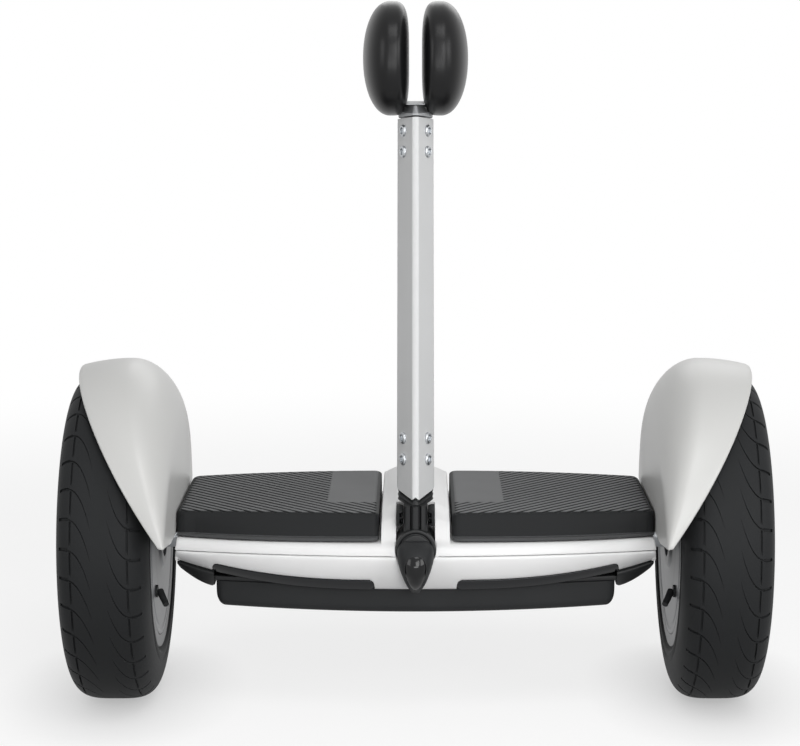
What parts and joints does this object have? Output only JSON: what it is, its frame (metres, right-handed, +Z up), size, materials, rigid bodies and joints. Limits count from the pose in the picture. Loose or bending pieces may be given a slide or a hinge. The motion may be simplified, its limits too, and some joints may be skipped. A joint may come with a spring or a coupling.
{
  "type": "self balancing personal transporter",
  "caption": "Standing deck between wide pneumatic tyres with hub motors, steered by a short stem with padded knee rests that tilts left and right.",
  "frame": {"origin": "on the ground, midway between the wheels, under the axle line", "axes": "+Z up, X along the axle with the rider's left at +X, the front faces -Y"},
  "size_m": [0.548, 0.2822, 0.5559],
  "materials": {
    "shell_white": "white painted ABS, satin to gloss",
    "black_plastic": "black moulded plastic, satin",
    "gloss_black": "polished black",
    "tyre_rubber": "black moulded rubber",
    "mat_rubber": "dark grey ribbed rubber",
    "black_rubber": "soft black rubber",
    "knee_pad_skin": "moulded polyurethane foam with a satin skin",
    "stem_paint": "silver white paint over aluminium",
    "cast_black": "black powder coat over cast magnesium",
    "hub_metal": "dark grey painted aluminium casting",
    "steel": "turned and zinc plated steel",
    "winding_copper": "enamelled copper wire on laminated steel",
    "bronze": "sintered bronze",
    "circuit_board": "green solder mask",
    "cell_wrap": "blue shrink wrap",
    "smoked_lens": "smoked polycarbonate",
    "red_lens": "red polycarbonate",
    "grey_plastic": "light grey moulded plastic"
  },
  "bodies": {
    "chassis": {"deck_shell": "shell_white", "front_skirt": "shell_white", "chassis_frame": "cast_black", "battery_case": "black_plastic", "battery_cells": "cell_wrap", "control_board": "circuit_board", "fender_left": "shell_white", "fender_right": "shell_white", "light_lens_left": "smoked_lens", "light_lens_right": "smoked_lens", "tail_lens_left": "red_lens", "tail_lens_right": "red_lens", "axle_left": "steel", "axle_right": "steel", "stator_left": "winding_copper", "stator_right": "winding_copper", "axle_clamp_left": "steel", "axle_clamp_right": "steel", "rider_sensor_left": "cell_wrap", "rider_sensor_right": "cell_wrap", "charge_socket": "black_plastic", "charge_window": "smoked_lens", "pivot_bush_front": "bronze", "pivot_bush_rear": "bronze", "centring_rubber": "black_rubber", "dust_gaiter_left": "black_rubber", "dust_gaiter_right": "black_rubber", "nose_cover": "black_plastic", "lamp_window": "gloss_black"},
    "wheel_left": {"tyre_left": "tyre_rubber", "rim_left": "hub_metal", "hub_cover_left": "hub_metal", "bearing_inner_left": "steel", "bearing_outer_left": "steel", "valve_left": "black_rubber"},
    "wheel_right": {"tyre_right": "tyre_rubber", "rim_right": "hub_metal", "hub_cover_right": "hub_metal", "bearing_inner_right": "steel", "bearing_outer_right": "steel", "valve_right": "black_rubber"},
    "steering": {"steering_neck": "cast_black", "pivot_shaft": "steel", "stem_tube": "stem_paint", "stem_screw_1_left": "steel", "stem_screw_1_right": "steel", "stem_screw_2_left": "steel", "stem_screw_2_right": "steel", "stem_screw_3_left": "steel", "stem_screw_3_right": "steel", "stem_screw_4_left": "steel", "stem_screw_4_right": "steel", "top_bracket": "cast_black", "bracket_cap": "grey_plastic", "knee_pad_left": "knee_pad_skin", "knee_pad_right": "knee_pad_skin"},
    "mat_left": {"foot_mat_left": "mat_rubber"},
    "mat_right": {"foot_mat_right": "mat_rubber"},
    "button": {"power_button": "grey_plastic"},
    "socket_cover": {"charge_cover": "black_rubber"}
  },
  "joints": [
    {"name": "wheel_left_spin", "type": "hinge", "parent": "chassis", "child": "wheel_left", "pos_m": [0.2385, 0, 0.131], "axis": [1, 0, 0], "continuous": true},
    {"name": "wheel_right_spin", "type": "hinge", "parent": "chassis", "child": "wheel_right", "pos_m": [-0.2385, 0, 0.131], "axis": [1, 0, 0], "continuous": true},
    {"name": "steering_tilt", "type": "hinge", "parent": "chassis", "child": "steering", "pos_m": [0, 0, 0.139], "axis": [0, 1, 0], "range_deg": [-9, 9], "stiffness_Nm_per_rad": 16, "deforming": ["dust_gaiter_left", "dust_gaiter_right"]},
    {"name": "mat_left_press", "type": "slide", "parent": "chassis", "child": "mat_left", "axis": [0, 0, -1], "range_m": [0, 0.001], "stiffness_N_per_m": 20000, "springref_m": -0.0005},
    {"name": "mat_right_press", "type": "slide", "parent": "chassis", "child": "mat_right", "axis": [0, 0, -1], "range_m": [0, 0.001], "stiffness_N_per_m": 20000, "springref_m": -0.0005},
    {"name": "button_press", "type": "slide", "parent": "chassis", "child": "button", "axis": [0, 0, -1], "range_m": [0, 0.0015], "stiffness_N_per_m": 600, "springref_m": -0.001},
    {"name": "charge_cover_swing", "type": "hinge", "parent": "chassis", "child": "socket_cover", "pos_m": [0.036, 0.12549, 0.1295], "axis": [1, 0, 0], "range_deg": [0, 110]}
  ]
}
